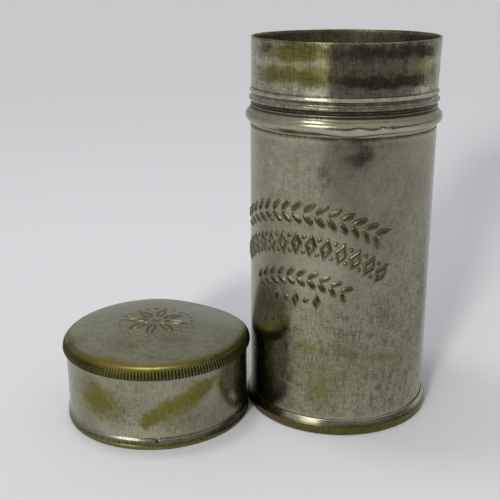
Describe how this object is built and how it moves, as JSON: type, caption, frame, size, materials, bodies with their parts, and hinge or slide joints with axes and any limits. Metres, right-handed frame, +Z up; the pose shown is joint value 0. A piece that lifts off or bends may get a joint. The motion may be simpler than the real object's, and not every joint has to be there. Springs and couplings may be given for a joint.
{
  "type": "shaving stick tin",
  "caption": "Round nickel-plated brass tin with a rolled bead, a slip-on neck, a milled domed cap and a stick of shaving soap that slides out",
  "frame": {"origin": "centre of the tube's flat base, on the table", "axes": "+Z up along the tube; the cap stands beside it on the -X side; the front is towards -Y"},
  "size_m": [0.0752, 0.0438, 0.0749],
  "materials": {
    "nickel_body": "worn nickel plate over brass",
    "nickel_neck": "nickel plate rubbed through to brass in bands",
    "nickel_cap": "worn nickel plate over brass",
    "nickel_crown": "dull nickel plate, brass showing on the milled edge",
    "brass_base": "tarnished brass with nickel left on the upper slope",
    "solder": "dull soft solder",
    "soap": "dry cream soap, waxy",
    "foil": "crumpled tin foil"
  },
  "bodies": {
    "tube": {"body_shell": "nickel_body", "neck_sleeve": "nickel_neck", "base_disc": "brass_base", "base_solder": "solder", "neck_solder": "solder"},
    "cap": {"cap_skirt": "nickel_cap", "cap_crown": "nickel_crown"},
    "stick": {"shaving_stick": "soap", "stick_foil": "foil"}
  },
  "joints": [
    {"name": "cap_lift", "type": "slide", "parent": "tube", "child": "cap", "axis": [-0.1045, 0, 0.9945], "range_m": [0, 0.085]},
    {"name": "stick_slide", "type": "slide", "parent": "tube", "child": "stick", "axis": [0, 0, 1], "range_m": [0, 0.078]}
  ]
}
